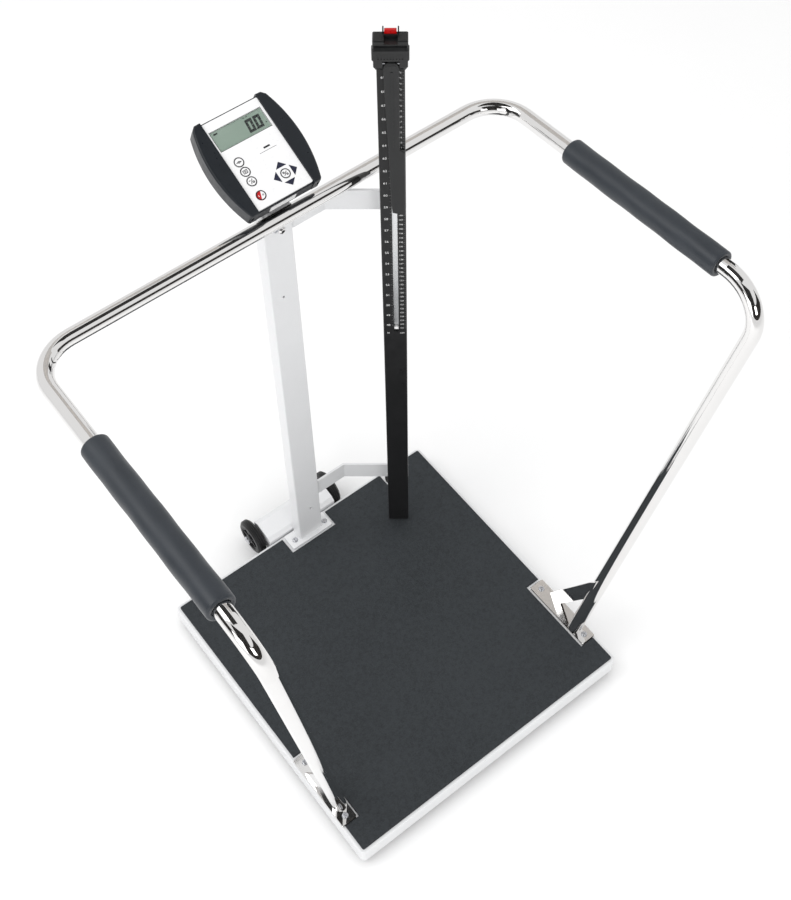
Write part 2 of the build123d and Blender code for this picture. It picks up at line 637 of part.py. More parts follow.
for sx, tag in ((-1, "left"), (1, "right")):
    wx = col_x + sx * wheel_x
    with BuildPart() as hub:
        with BuildSketch(Plane.YZ.offset(wx - 7.5)):
            with Locations((wheel_y, wheel_z)):
                Circle(24)
                Circle(5.08, mode=Mode.SUBTRACT)
        extrude(amount=15)
        # dished faces with five webs
        for side in (-1, 1):
            with BuildSketch(Plane.YZ.offset(wx + side * 7.5)):
                with Locations((wheel_y, wheel_z)):
                    Circle(21)
                    Circle(9.4, mode=Mode.SUBTRACT)
                    with PolarLocations(15, 5):
                        Rectangle(16, 3, mode=Mode.SUBTRACT)
            extrude(amount=-side * 4.8, mode=Mode.SUBTRACT)
            with BuildSketch(Plane.YZ.offset(wx + side * 7.5)):
                with Locations((wheel_y, wheel_z)):
                    Circle(9.0)
                    Circle(5.08, mode=Mode.SUBTRACT)
            extrude(amount=side * 1.6)
    keep(hub, "wheel_hub_" + tag)
    with BuildPart() as tyre:
        with BuildSketch(Plane.XY.offset(wheel_z)):
            with BuildLine():
                hw, r0 = wheel_w / 2, wheel_y
                FilletPolyline((wx - hw, r0 + 24.02), (wx - hw, r0 + wheel_r - 5), (wx - 4.6, r0 + wheel_r),
                               (wx + 4.6, r0 + wheel_r), (wx + hw, r0 + wheel_r - 5), (wx + hw, r0 + 24.02), radius=2.0)
                Line((wx + hw, r0 + 24.02), (wx - hw, r0 + 24.02))
            make_face()
            # tread grooves
            with Locations((wx - 4.2, r0 + wheel_r), (wx, r0 + wheel_r), (wx + 4.2, r0 + wheel_r)):
                Rectangle(1.3, 2.0, mode=Mode.SUBTRACT)
        revolve(axis=Axis((0, wheel_y, wheel_z), (1, 0, 0)))
    keep(tyre, "wheel_tyre_" + tag)

# ================================================================ indicator
# steel tilt bracket on the column top: base tongue and two ears
hinge_y, hinge_z = 276.0, 1004.0
with BuildPart() as tilt_bracket:
    with Locations((col_x, col_y, col_z1 + 4)):
        Box(40, 22, 3, align=(Align.CENTER, Align.CENTER, Align.MIN))
    for x in (-20, 17):
        with BuildSketch(Plane.YZ.offset(col_x + x)):
            with BuildLine():
                Polyline((col_y - 9.2, col_z1 + 6), (col_y + 10, col_z1 + 6), (hinge_y + 8, hinge_z), (hinge_y - 8, hinge_z), close=True)
            make_face()
            with Locations((hinge_y, hinge_z)):
                Circle(8)
        extrude(amount=3)
    with BuildSketch(Plane.YZ.offset(col_x - 30)):
        with Locations((hinge_y, hinge_z)):
            Circle(3.05)
    extrude(amount=60, mode=Mode.SUBTRACT)
keep(tilt_bracket, "tilt_bracket")

# cross pin with a clamping knob each side
with BuildPart() as tilt_pin:
    with BuildSketch(Plane.YZ.offset(col_x - 27)):
        with Locations((hinge_y, hinge_z)):
            Circle(3.0)
    extrude(amount=54)
keep(tilt_pin, "tilt_pin")

with BuildPart() as tilt_knobs:
    for x0, d in ((-20.4, -1), (20.4, 1)):
        with BuildSketch(Plane.YZ.offset(col_x + x0)):
            with Locations((hinge_y, hinge_z)):
                Circle(7.8)
                with PolarLocations(8.2, 8):
                    Circle(1.5, mode=Mode.SUBTRACT)
        extrude(amount=d * 8)
        with BuildSketch(Plane.YZ.offset(col_x + x0)):
            with Locations((hinge_y, hinge_z)):
                Circle(3.02)
        extrude(amount=d * 7, mode=Mode.SUBTRACT)
keep(tilt_knobs, "tilt_knobs")

def lens_outline(inset):
    # outline of the indicator seen square on: straight ends, bowed sides
    e, m, h = 54.8 - inset, 73.8 - inset, 79.0 - inset
    return e, m, h

# rear housing: dark moulding with bowed sides
with BuildPart() as indicator_housing:
    with BuildSketch(ind_plane(-33)) as housing_outline:
        with BuildLine():
            e, m, h = lens_outline(3)
            Line((-e, h), (e, h))
            ThreePointArc((e, h), (m, 0), (e, -h))
            Line((e, -h), (-e, -h))
            ThreePointArc((-e, -h), (-m, 0), (-e, h))
        make_face()
        fillet(housing_outline.vertices(), 8)
    extrude(amount=29.2)
    chamfer(indicator_housing.faces().sort_by(Axis((0, 0, 0), (0, -ti, tc)))[0].edges(), 5)
    with BuildSketch(ind_plane(-30)):
        RectangleRounded(88, 142, 4)
    extrude(amount=40, mode=Mode.SUBTRACT)
    # lug underneath that takes the tilt pin
    with BuildSketch(Plane.YZ.offset(col_x - 16.6)):
        with Locations((hinge_y, hinge_z)):
            Circle(6.6)
        with BuildLine():
            Polyline((hinge_y - 6.6, hinge_z), (hinge_y + 6.6, hinge_z), (hinge_y + 14, hinge_z + 19.5), (hinge_y - 11, hinge_z + 8.0), close=True)
        make_face()
    extrude(amount=33.2)
    with BuildSketch(ind_plane(-30)):
        RectangleRounded(88, 142, 4)
    extrude(amount=40, mode=Mode.SUBTRACT)
    with BuildSketch(Plane.YZ.offset(col_x - 30)):
        with Locations((hinge_y, hinge_z)):
            Circle(3.04)
    extrude(amount=60, mode=Mode.SUBTRACT)
    # round socket for the power lead in the rear end
    with BuildSketch(Plane.XZ.offset(-(ind_y + tc * 77))):
        with Locations((ind_x + 32, ind_z + 12)):
            Circle(4.0)
    extrude(amount=-14, mode=Mode.SUBTRACT)
keep(indicator_housing, "indicator_housing")

# white front bezel with the window and key openings
keys_round = [("key_upper", -30.4, 1.4), ("key_middle", -30.4, -15.0), ("key_lower", -30.4, -31.4),
              ("key_power", -30.4, -55.2), ("key_enter", 18.5, -44.6)]
key_r = 7.55
nav_x, nav_y = 18.5, -44.6
def arrow_points(k, grow):
    # arrow head k round the middle key, its right-angled tip pointing outwards
    a = radians(90 * k)
    tip, base, half = 19.6 + grow * 1.4, 11.3 - grow, 8.3 + grow * 2.4
    return [(nav_x + x * cos(a) - y * sin(a), nav_y + x * sin(a) + y * cos(a))
            for x, y in ((0, tip), (-half, base), (half, base))]

with BuildPart() as indicator_bezel:
    with BuildSketch(ind_plane(-3.6)):
        RectangleRounded(face_w, face_h, 1.5)
    extrude(amount=3.6)
    with BuildSketch(ind_plane(1)):
        with Locations((lcd_x, lcd_y)):
            Rectangle(lcd_w, lcd_h)
    extrude(amount=-8, mode=Mode.SUBTRACT)
    with BuildSketch(ind_plane(1)):
        with Locations(*[(x, y) for n, x, y in keys_round]):
            Circle(key_r + 0.25)
        for k in range(4):
            with BuildLine():
                Polyline(*arrow_points(k, 0.3), close=True)
            make_face()
    extrude(amount=-8, mode=Mode.SUBTRACT)
keep(indicator_bezel, "indicator_bezel")

# membrane keys: each is a thin cap that dips when pressed
for name, x, y in keys_round:
    with BuildPart() as key:
        with BuildSketch(ind_plane(-3.4)):
            with Locations((x, y)):
                Circle(key_r)
        extrude(amount=3.7)
        fillet(key.faces().sort_by(Axis((0, 0, 0), (0, -ti, tc)))[-1].edges(), 0.25)
    keep(key, name)
with BuildPart() as key_arrows:
    with BuildSketch(ind_plane(-3.4)):
        for k in range(4):
            with BuildLine():
                Polyline(*arrow_points(k, 0), close=True)
            make_face()
    extrude(amount=3.7)
keep(key_arrows, "key_arrows")

# display: glass window over the liquid crystal module
with BuildPart() as display_window:
    with BuildSketch(ind_plane(-1.6)):
        with Locations((lcd_x, lcd_y)):
            Rectangle(lcd_w - 0.4, lcd_h - 0.4)
    extrude(amount=1.2)
keep(display_window, "display_window")

with BuildPart() as display_module:
    with BuildSketch(ind_plane(-6.4)):
        with Locations((lcd_x, lcd_y)):
            Rectangle(lcd_w - 0.8, lcd_h - 0.8)
    extrude(amount=4.6)
keep(display_module, "display_module")

with BuildPart() as circuit_board:
    with BuildSketch(ind_plane(-9.0)):
        RectangleRounded(84, 138, 3)
    extrude(amount=1.6)
keep(circuit_board, "circuit_board")

# soft side bumpers, bowed outwards, standing a little above the bezel
for sx, tag in ((-1, "left"), (1, "right")):
    with BuildPart() as bumper:
        with BuildSketch(ind_plane(-26)):
            with BuildLine():
                Polyline((sx * 47.3, -77), (sx * 47.3, 78.4), (sx * 56.5, 78.0))
                Line((sx * 56.5, 78.0), (sx * 62.6, 72.0))
                ThreePointArc((sx * 62.6, 72.0), (sx * 74.1, 0.0), (sx * 60.6, -74.6))
                Polyline((sx * 60.6, -74.6), (sx * 58.4, -77), (sx * 47.3, -77))
            make_face()
        extrude(amount=28.5)
        top = bumper.faces().sort_by(Axis((0, 0, 0), (0, -ti, tc)))[-1]
        outer = top.edges().filter_by(lambda e: abs(e.center().X - ind_x) > 50)
        fillet(outer, 3.6)
        # clear the housing, leaving a skin over its side
        with BuildSketch(ind_plane(-40)):
            with BuildLine():
                e, m, h = lens_outline(2.7)
                Line((-e, h), (e, h))
                ThreePointArc((e, h), (m, 0), (e, -h))
                Line((e, -h), (-e, -h))
                ThreePointArc((-e, -h), (-m, 0), (-e, h))
            make_face()
        extrude(amount=36.3, mode=Mode.SUBTRACT)
        # slot in the front end
        with BuildSketch(Plane(origin=(ind_x + sx * 56.4, ind_y - tc * 77.5 + ti * 12, ind_z - ti * 77.5 - tc * 12), x_dir=(1, 0, 0), z_dir=(0, -tc, -ti))):
            SlotOverall(11, 3.8, rotation=90)
        extrude(amount=-3.4, mode=Mode.SUBTRACT)
    keep(bumper, "bumper_" + tag)

# blank plate on the front end of the housing
with BuildPart() as rating_plate:
    with BuildSketch(Plane(origin=(ind_x - 4, ind_y - tc * 76.1 + ti * 14.5, ind_z - ti * 76.1 - tc * 14.5), x_dir=(1, 0, 0), z_dir=(0, -tc, -ti))):
        RectangleRounded(44, 16, 1.5)
    extrude(amount=0.6)
keep(rating_plate, "rating_plate")

print(len(made), "nodes written")
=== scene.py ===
import json
import math
import random

import bmesh
import bpy
from mathutils import Matrix, Vector


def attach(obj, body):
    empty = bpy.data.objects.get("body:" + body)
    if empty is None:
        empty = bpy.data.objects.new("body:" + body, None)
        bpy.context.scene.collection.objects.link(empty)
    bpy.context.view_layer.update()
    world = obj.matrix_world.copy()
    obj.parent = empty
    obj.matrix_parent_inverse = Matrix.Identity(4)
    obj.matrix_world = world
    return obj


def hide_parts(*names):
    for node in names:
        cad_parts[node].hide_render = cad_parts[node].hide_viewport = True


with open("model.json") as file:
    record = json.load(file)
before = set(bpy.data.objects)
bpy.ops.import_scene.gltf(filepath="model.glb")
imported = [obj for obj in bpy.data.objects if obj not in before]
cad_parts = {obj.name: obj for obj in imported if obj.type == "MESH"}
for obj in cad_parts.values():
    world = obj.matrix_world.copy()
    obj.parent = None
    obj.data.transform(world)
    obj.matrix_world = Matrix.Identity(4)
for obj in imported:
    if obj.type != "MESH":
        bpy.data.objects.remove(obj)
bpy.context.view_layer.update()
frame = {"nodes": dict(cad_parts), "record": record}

MM = 0.001
random.seed(4)

# ------------------------------------------------------------------ geometry
# The same places as in the CAD, in metres.
COL_X = 0.004
ROD = Vector((0.1537, 0.180, 0.0))
YAW = math.radians(-38.1)
RU = Vector((math.cos(YAW), math.sin(YAW), 0.0))     # across the rod's face
RN = Vector((-math.sin(YAW), math.cos(YAW), 0.0))    # towards the rod's back
TILT = math.radians(25.5)
IC = Vector((0.0071, 0.3010, 1.0637))                 # middle of the indicator's face
IX = Vector((1, 0, 0))
IY = Vector((0, math.cos(TILT), math.sin(TILT)))
IN_ = Vector((0, -math.sin(TILT), math.cos(TILT)))


def rod_at(x, y, z):
    """Point in millimetres across, behind and up the rod's face, in the row frame."""
    return ROD + RU * (x * MM) + RN * (y * MM) + Vector((0, 0, z * MM))


def face_at(x, y, h=0.0):
    """Point in millimetres on the indicator's face, h above it."""
    return IC + IX * (x * MM) + IY * (y * MM) + IN_ * (h * MM)


# ----------------------------------------------------------------- materials
def new_mat(name):
    m = bpy.data.materials.new(name)
    m.use_nodes = True
    nt = m.node_tree
    nt.nodes.clear()
    out = nt.nodes.new("ShaderNodeOutputMaterial")
    b = nt.nodes.new("ShaderNodeBsdfPrincipled")
    nt.links.new(b.outputs["BSDF"], out.inputs["Surface"])
    return m, nt, b


def node(nt, kind, inputs=None, **props):
    n = nt.nodes.new(kind)
    for k, v in props.items():
        setattr(n, k, v)
    for k, v in (inputs or {}).items():
        if isinstance(v, bpy.types.NodeSocket):
            nt.links.new(v, n.inputs[k])
        else:
            n.inputs[k].default_value = v
    return n


def coords(nt, scale=(1, 1, 1), rot=(0, 0, 0)):
    tc = node(nt, "ShaderNodeTexCoord")
    mp = node(nt, "ShaderNodeMapping", {"Vector": tc.outputs["Object"], "Scale": scale, "Rotation": rot})
    return mp.outputs["Vector"]


def noise(nt, vec, scale, detail=3.0, rough=0.55, distortion=0.0):
    n = node(nt, "ShaderNodeTexNoise", {"Vector": vec, "Scale": scale, "Detail": detail, "Roughness": rough, "Distortion": distortion})
    return n.outputs["Fac"]


def ramp(nt, fac, a, b, lo=0.3, hi=0.7):
    r = node(nt, "ShaderNodeMapRange", {"Value": fac, "From Min": lo, "From Max": hi, "To Min": a, "To Max": b})
    return r.outputs["Result"]


def mixc(nt, fac, a, b):
    n = nt.nodes.new("ShaderNodeMix")
    n.data_type = "RGBA"
    if isinstance(fac, bpy.types.NodeSocket):
        nt.links.new(fac, n.inputs["Factor"])
    else:
        n.inputs["Factor"].default_value = fac
    for key, v in (("A", a), ("B", b)):
        s = [i for i in n.inputs if i.name == key and i.type == "RGBA"][0]
        if isinstance(v, bpy.types.NodeSocket):
            nt.links.new(v, s)
        else:
            s.default_value = (*v[:3], 1.0)
    return [o for o in n.outputs if o.type == "RGBA"][0]


def bump(nt, b, layers):
    """layers: (height socket, strength, distance in metres), applied one over another."""
    prev = None
    for h, strength, dist in layers:
        n = node(nt, "ShaderNodeBump", {"Height": h, "Strength": strength, "Distance": dist})
        if prev is not None:
            nt.links.new(prev, n.inputs["Normal"])
        prev = n.outputs["Normal"]
    nt.links.new(prev, b.inputs["Normal"])


def shade(c, k):
    return tuple(min(1.0, max(0.0, v * k)) for v in c[:3])


def surface(name, color, rough=0.5, metallic=0.0, tone=0.08, tone_scale=9.0, grain=900.0, grain_strength=0.15,
            grain_dist=0.0001, rough_var=0.06, wave=0.0, wave_scale=60.0, coat=0.0, coat_rough=0.1, ior=1.5, stretch=(1, 1, 1)):
    """A painted, moulded or metal surface: slow change of tone, smudged roughness and a fine grain."""
    m, nt, b = new_mat(name)
    v = coords(nt, stretch)
    slow = noise(nt, v, tone_scale, 4.0, 0.6)
    fine = noise(nt, v, tone_scale * 11, 3.0, 0.6)
    c = mixc(nt, ramp(nt, slow, 0.0, 1.0), shade(color, 1 - tone), shade(color, 1 + tone * 0.6))
    c = mixc(nt, ramp(nt, fine, 0.0, 0.35), c, shade(color, 1 - tone * 1.2))
    nt.links.new(c, b.inputs["Base Color"])
    nt.links.new(ramp(nt, noise(nt, v, tone_scale * 4, 5.0, 0.65), rough - rough_var, rough + rough_var), b.inputs["Roughness"])
    b.inputs["Metallic"].default_value = metallic
    b.inputs["IOR"].default_value = ior
    b.inputs["Coat Weight"].default_value = coat
    b.inputs["Coat Roughness"].default_value = coat_rough
    layers = [(noise(nt, v, grain, 2.0, 0.5), grain_strength, grain_dist)]
    if wave:
        layers.append((noise(nt, v, wave_scale, 2.0, 0.4), wave, 0.0003))
    bump(nt, b, layers)
    return m


M = {}
M["white_paint"] = surface("powder_coat_white", (0.76, 0.765, 0.775), 0.36, tone=0.03, tone_scale=5, grain=1400, grain_strength=0.10,
                           grain_dist=0.00006, wave=0.05, wave_scale=420, coat=0.15, coat_rough=0.25)
M["chrome"] = surface("polished_chrome", (0.82, 0.812, 0.805), 0.045, metallic=1.0, tone=0.02, tone_scale=14, grain=700, grain_strength=0.006,
                      grain_dist=0.00002, rough_var=0.02)
M["screw_steel"] = surface("zinc_steel", (0.62, 0.63, 0.66), 0.28, metallic=1.0, tone=0.10, tone_scale=60, grain=2200, grain_strength=0.12, grain_dist=0.00005)
M["bright_bar"] = surface("drawn_aluminium", (0.82, 0.83, 0.84), 0.26, metallic=1.0, tone=0.05, tone_scale=30, grain=900, grain_strength=0.10,
                          grain_dist=0.00005, stretch=(1, 1, 0.03))
M["frame_steel"] = surface("frame_primer", (0.10, 0.105, 0.11), 0.5, tone=0.12, grain=700, grain_strength=0.2)
M["cell_aluminium"] = surface("machined_aluminium", (0.72, 0.73, 0.75), 0.35, metallic=1.0, tone=0.06, grain=1200, grain_strength=0.1, stretch=(1, 0.05, 1))
M["black_anodised"] = surface("black_anodised", (0.0115, 0.0115, 0.0120), 0.34, tone=0.18, tone_scale=12, grain=2600, grain_strength=0.12,
                              grain_dist=0.00005, rough_var=0.07, ior=1.36)
M["black_plastic"] = surface("black_moulding", (0.0125, 0.0130, 0.0135), 0.34, tone=0.2, tone_scale=30, grain=1900, grain_strength=0.22, grain_dist=0.00008, rough_var=0.07, ior=1.42)
M["white_plastic"] = surface("white_moulding", (0.82, 0.82, 0.82), 0.35, tone=0.03, grain=1500, grain_strength=0.06)
M["red_plastic"] = surface("red_moulding", (0.50, 0.002, 0.002), 0.30, tone=0.10, tone_scale=80, grain=1500, grain_strength=0.05, coat=0.5, coat_rough=0.08)
M["housing_dark"] = surface("housing_moulding", (0.019, 0.021, 0.025), 0.42, tone=0.12, tone_scale=25, grain=2000, grain_strength=0.30, grain_dist=0.00010, ior=1.40)
M["bumper_dark"] = surface("bumper_elastomer", (0.0115, 0.0145, 0.0188), 0.34, tone=0.14, tone_scale=22, grain=1700, grain_strength=0.24, grain_dist=0.00009, rough_var=0.08, ior=1.40)
M["bezel_white"] = surface("bezel_film", (0.84, 0.84, 0.845), 0.30, tone=0.02, tone_scale=30, grain=2600, grain_strength=0.07, grain_dist=0.00004)
M["key_white"] = surface("key_film", (0.83, 0.83, 0.835), 0.28, tone=0.03, tone_scale=90, grain=2600, grain_strength=0.07, grain_dist=0.00004)
M["key_navy"] = surface("key_film_navy", (0.013, 0.016, 0.042), 0.34, tone=0.12, tone_scale=90, grain=2600, grain_strength=0.07, grain_dist=0.00004)
M["key_red"] = surface("key_film_red", (0.47, 0.001, 0.003), 0.30, tone=0.08, tone_scale=90, grain=2600, grain_strength=0.07, grain_dist=0.00004)
M["print_dark"] = surface("print_dark", (0.0075, 0.008, 0.010), 0.5, tone=0.12, tone_scale=200, grain=3000, grain_strength=0.05)
M["print_grey"] = surface("print_grey", (0.42, 0.42, 0.42), 0.45, tone=0.06, tone_scale=200, grain=3000, grain_strength=0.05)
M["print_white"] = surface("print_white", (0.78, 0.78, 0.78), 0.45, tone=0.06, tone_scale=200, grain=3000, grain_strength=0.05)
M["board_green"] = surface("solder_mask", (0.015, 0.10, 0.04), 0.35, tone=0.2, tone_scale=60, grain=1500, grain_strength=0.1)
M["hub_black"] = surface("hub_moulding", (0.020, 0.020, 0.021), 0.30, metallic=0.0, tone=0.10, tone_scale=40, grain=1500, grain_strength=0.12)
M["foot_rubber"] = surface("foot_rubber", (0.022, 0.022, 0.023), 0.7, tone=0.2, tone_scale=40, grain=1100, grain_strength=0.4)
M["tyre"] = surface("tyre_rubber", (0.0125, 0.0125, 0.0130), 0.42, tone=0.22, tone_scale=35, grain=900, grain_strength=0.35, grain_dist=0.0001, rough_var=0.09, ior=1.40)


def rubber_mat():
    m, nt, b = new_mat("mat_rubber")
    v = coords(nt)
    slow = noise(nt, v, 4.0, 5.0, 0.6)
    fine = noise(nt, v, 420.0, 2.0, 0.5)
    speck = noise(nt, v, 1500.0, 1.0, 0.5)
    c = mixc(nt, ramp(nt, slow, 0, 1), (0.0200, 0.0240, 0.0275), (0.0290, 0.0340, 0.0385))
    mid = noise(nt, v, 150.0, 5.0, 0.75)
    c = mixc(nt, ramp(nt, mid, 0, 0.55, 0.46, 0.66), c, (0.036, 0.042, 0.047))
    c = mixc(nt, ramp(nt, mid, 0.45, 0, 0.34, 0.50), c, (0.012, 0.014, 0.016))
    c = mixc(nt, ramp(nt, fine, 0, 0.5, 0.45, 0.62), c, (0.042, 0.047, 0.052))
    c = mixc(nt, ramp(nt, speck, 0, 0.35, 0.55, 0.7), c, (0.012, 0.013, 0.0145))
    nt.links.new(c, b.inputs["Base Color"])
    nt.links.new(ramp(nt, fine, 0.60, 0.80), b.inputs["Roughness"])
    b.inputs["Specular IOR Level"].default_value = 0.34
    vor = node(nt, "ShaderNodeTexVoronoi", {"Vector": v, "Scale": 520.0})
    bump(nt, b, [(vor.outputs["Distance"], 0.55, 0.0003), (speck, 0.25, 0.00012)])
    return m


def foam():
    m, nt, b = new_mat("grip_foam")
    v = coords(nt)
    slow = noise(nt, v, 16.0, 5.0, 0.6)
    fine = noise(nt, v, 1300.0, 2.0, 0.55)
    c = mixc(nt, ramp(nt, slow, 0, 1), (0.0205, 0.0255, 0.0330), (0.0285, 0.0350, 0.0445))
    c = mixc(nt, ramp(nt, fine, 0, 0.5, 0.45, 0.7), c, (0.014, 0.018, 0.024))
    nt.links.new(c, b.inputs["Base Color"])
    nt.links.new(ramp(nt, slow, 0.38, 0.50), b.inputs["Roughness"])
    b.inputs["Sheen Weight"].default_value = 0.10
    b.inputs["Sheen Roughness"].default_value = 0.4
    cell = node(nt, "ShaderNodeTexVoronoi", {"Vector": v, "Scale": 1500.0})
    bump(nt, b, [(noise(nt, v, 90.0, 3.0, 0.5), 0.18, 0.0006), (cell.outputs["Distance"], 0.30, 0.00015)])
    return m


def lcd_panel():
    m, nt, b = new_mat("lcd_panel")
    v = coords(nt)
    slow = noise(nt, v, 22.0, 3.0, 0.5)
    grid = noise(nt, v, 2500.0, 1.0, 0.4)
    c = mixc(nt, ramp(nt, slow, 0, 1), (0.250, 0.330, 0.273), (0.285, 0.365, 0.308))
    c = mixc(nt, ramp(nt, grid, 0, 0.12), c, (0.155, 0.205, 0.168))
    nt.links.new(c, b.inputs["Base Color"])
    nt.links.new(ramp(nt, slow, 0.30, 0.40), b.inputs["Roughness"])
    bump(nt, b, [(grid, 0.05, 0.00003)])
    return m


def glass(name, tint, rough, ior=1.46):
    m, nt, b = new_mat(name)
    v = coords(nt)
    smudge = noise(nt, v, 60.0, 5.0, 0.65)
    c = mixc(nt, ramp(nt, smudge, 0, 1), shade(tint, 0.97), tint)
    nt.links.new(c, b.inputs["Base Color"])
    nt.links.new(ramp(nt, smudge, rough * 0.6, rough * 1.6), b.inputs["Roughness"])
    b.inputs["IOR"].default_value = ior
    b.inputs["Transmission Weight"].default_value = 1.0
    bump(nt, b, [(noise(nt, v, 12.0, 2.0, 0.5), 0.02, 0.0002)])
    return m


def clear_window(name, tint):
    """Thin clear acrylic: light passes straight through, with a faint grey gloss on top."""
    m, nt, b = new_mat(name)
    v = coords(nt)
    smudge = noise(nt, v, 70.0, 5.0, 0.65)
    nt.links.new(mixc(nt, ramp(nt, smudge, 0, 1), shade(tint, 0.98), tint), b.inputs["Base Color"])
    nt.links.new(ramp(nt, smudge, 0.05, 0.12), b.inputs["Roughness"])
    b.inputs["IOR"].default_value = 1.42
    b.inputs["Alpha"].default_value = 0.05
    bump(nt, b, [(noise(nt, v, 14.0, 2.0, 0.5), 0.01, 0.0001)])
    return m


M["mat_rubber"] = rubber_mat()
M["grip_foam"] = foam()
M["lcd_panel"] = lcd_panel()
M["lcd_glass"] = clear_window("lcd_window", (0.22, 0.26, 0.235))
M["vial"] = glass("vial_liquid", (0.62, 0.86, 0.25), 0.05)

for s in frame["record"]["subparts"]:
    o = frame["nodes"][s["node"]]
    m = M[s["material_slot"]]
    if not o.material_slots:
        o.data.materials.append(m)
    for k in o.material_slots:
        k.material = m


# ------------------------------------------------------------- mesh helpers
def mesh_object(name, verts, faces, mat, body, smooth=True):
    me = bpy.data.meshes.new(name)
    me.from_pydata([tuple(v) for v in verts], [], faces)
    me.validate()
    bm = bmesh.new()
    bm.from_mesh(me)
    bmesh.ops.recalc_face_normals(bm, faces=bm.faces)
    bm.to_mesh(me)
    bm.free()
    me.materials.append(mat)
    for p in me.polygons:
        p.use_smooth = smooth
    o = bpy.data.objects.new(name, me)
    bpy.context.scene.collection.objects.link(o)
    if body:
        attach(o, body)
    return o


def join_meshes(name, parts, mat, body, smooth=False):
    """parts: list of (verts, faces) joined into one object."""
    vs, fs = [], []
    for v, f in parts:
        k = len(vs)
        vs += list(v)
        fs += [tuple(i + k for i in p) for p in f]
    return mesh_object(name, vs, fs, mat, body, smooth)


def prism(pts, place, h0, h1):
    """Closed prism over a 2-D outline; place(x, y, h) gives the point in the row frame."""
    n = len(pts)
    v = [place(x, y, h0) for x, y in pts] + [place(x, y, h1) for x, y in pts]
    f = [tuple(range(n - 1, -1, -1)), tuple(range(n, 2 * n))]
    f += [(i, (i + 1) % n, n + (i + 1) % n, n + i) for i in range(n)]
    return v, f


def circle_pts(cx, cy, r, n=48, a0=0.0, a1=2 * math.pi, close=False):
    k = n if not close else n + 1
    return [(cx + r * math.cos(a0 + (a1 - a0) * i / n), cy + r * math.sin(a0 + (a1 - a0) * i / n)) for i in range(k)]


def ring(cx, cy, r0, r1, place, h0, h1, n=64):
    """Closed ring, square section."""
    v, f = [], []
    for r, h in ((r0, h0), (r1, h0), (r1, h1), (r0, h1)):
        v += [place(x, y, h) for x, y in circle_pts(cx, cy, r, n)]
    for k in range(4):
        a, b = k * n, ((k + 1) % 4) * n
        f += [(a + i, a + (i + 1) % n, b + (i + 1) % n, b + i) for i in range(n)]
    return v, f


def bar_pts(x0, y0, x1, y1, w):
    d = Vector((x1 - x0, y1 - y0))
    d.normalize()
    n = Vector((-d.y, d.x)) * (w / 2)
    return [(x0 - n.x, y0 - n.y), (x1 - n.x, y1 - n.y), (x1 + n.x, y1 + n.y), (x0 + n.x, y0 + n.y)]


def text_mesh(txt, size):
    """Outline triangles of a short number, as (verts2d, faces) in millimetres, centred."""
    cu = bpy.data.curves.new("number", "FONT")
    cu.body = txt
    cu.size = size
    cu.align_x = "CENTER"
    cu.align_y = "CENTER"
    cu.extrude = 0.03
    cu.resolution_u = 3
    o = bpy.data.objects.new("number", cu)
    bpy.context.scene.collection.objects.link(o)
    dg = bpy.context.evaluated_depsgraph_get()
    me = bpy.data.meshes.new_from_object(o.evaluated_get(dg))
    bm = bmesh.new()
    bm.from_mesh(me)
    bmesh.ops.remove_doubles(bm, verts=bm.verts, dist=1e-4)
    vs = [tuple(v.co) for v in bm.verts]
    fs = [tuple(v.index for v in f.verts) for f in bm.faces]
    bm.free()
    bpy.data.objects.remove(o)
    bpy.data.curves.remove(cu)
    bpy.data.meshes.remove(me)
    return vs, fs


# --------------------------------------------------------------- height rod
def on_rod(x, z, h):
    # h millimetres in front of the rod's face
    return rod_at(x, -h, z)


INCH = (1225.1 - 675.9) / 21.6                       # one inch on the printed scale
CM = INCH / 2.54
parts = []
for i in range(22):
    z = 675.9 + INCH * i
    if z > 1221:
        break
    v, f = text_mesh(str(48 + i), 6.2)
    parts.append(([rod_at(-10.6 + x, -0.03 - h, z + y) for x, y, h in v], f))
join_meshes("rod_inch_numbers", parts, M["print_white"], "base")
parts = []
k = 0
while 675.9 + INCH / 4 * k < 1222.0:
    z = 675.9 + INCH / 4 * k
    w = 2.6 if k % 4 == 0 else (1.9 if k % 2 == 0 else 1.2)
    t_ = 0.16 if k % 4 == 0 else 0.11
    parts.append(prism([(-2.9 - w, z - t_), (-2.9, z - t_), (-2.9, z + t_), (-2.9 - w, z + t_)], lambda x, y, h: on_rod(x, y, h), 0.0, 0.06))
    k += 1
k = 0
while 668.0 + CM / 2 * k < 1222.0:
    z = 668.0 + CM / 2 * k
    w = 2.2 if k % 2 == 0 else 1.2
    parts.append(prism([(17.4 - w, z - 0.11), (17.4, z - 0.11), (17.4, z + 0.11), (17.4 - w, z + 0.11)], lambda x, y, h: on_rod(x, y, h), 0.0, 0.06))
    k += 1
join_meshes("rod_ticks", parts, M["print_grey"], "base")
parts = []
z, i = 668.0, 0
while z < 1219:
    v, f = text_mesh(str(121 + i), 4.4)
    parts.append(([rod_at(11.0 + x, -0.03 - h, z + y) for x, y, h in v], f))
    z += CM
    i += 1
join_meshes("rod_cm_numbers", parts, M["print_white"], "base")
parts = []
for x0, word in ((-11.0, "in"), (11.5, "cm")):
    v, f = text_mesh(word, 6.0)
    parts.append(([rod_at(x0 + x, -0.03 - h, 655.5 + y) for x, y, h in v], f))
join_meshes("rod_units", parts, M["print_white"], "base")

# ------------------------------------------------------------ indicator face
def on_face(x, y, h):
    return face_at(x, y, h)


def on_key(x, y, h):
    return face_at(x, y, 0.3 + h)


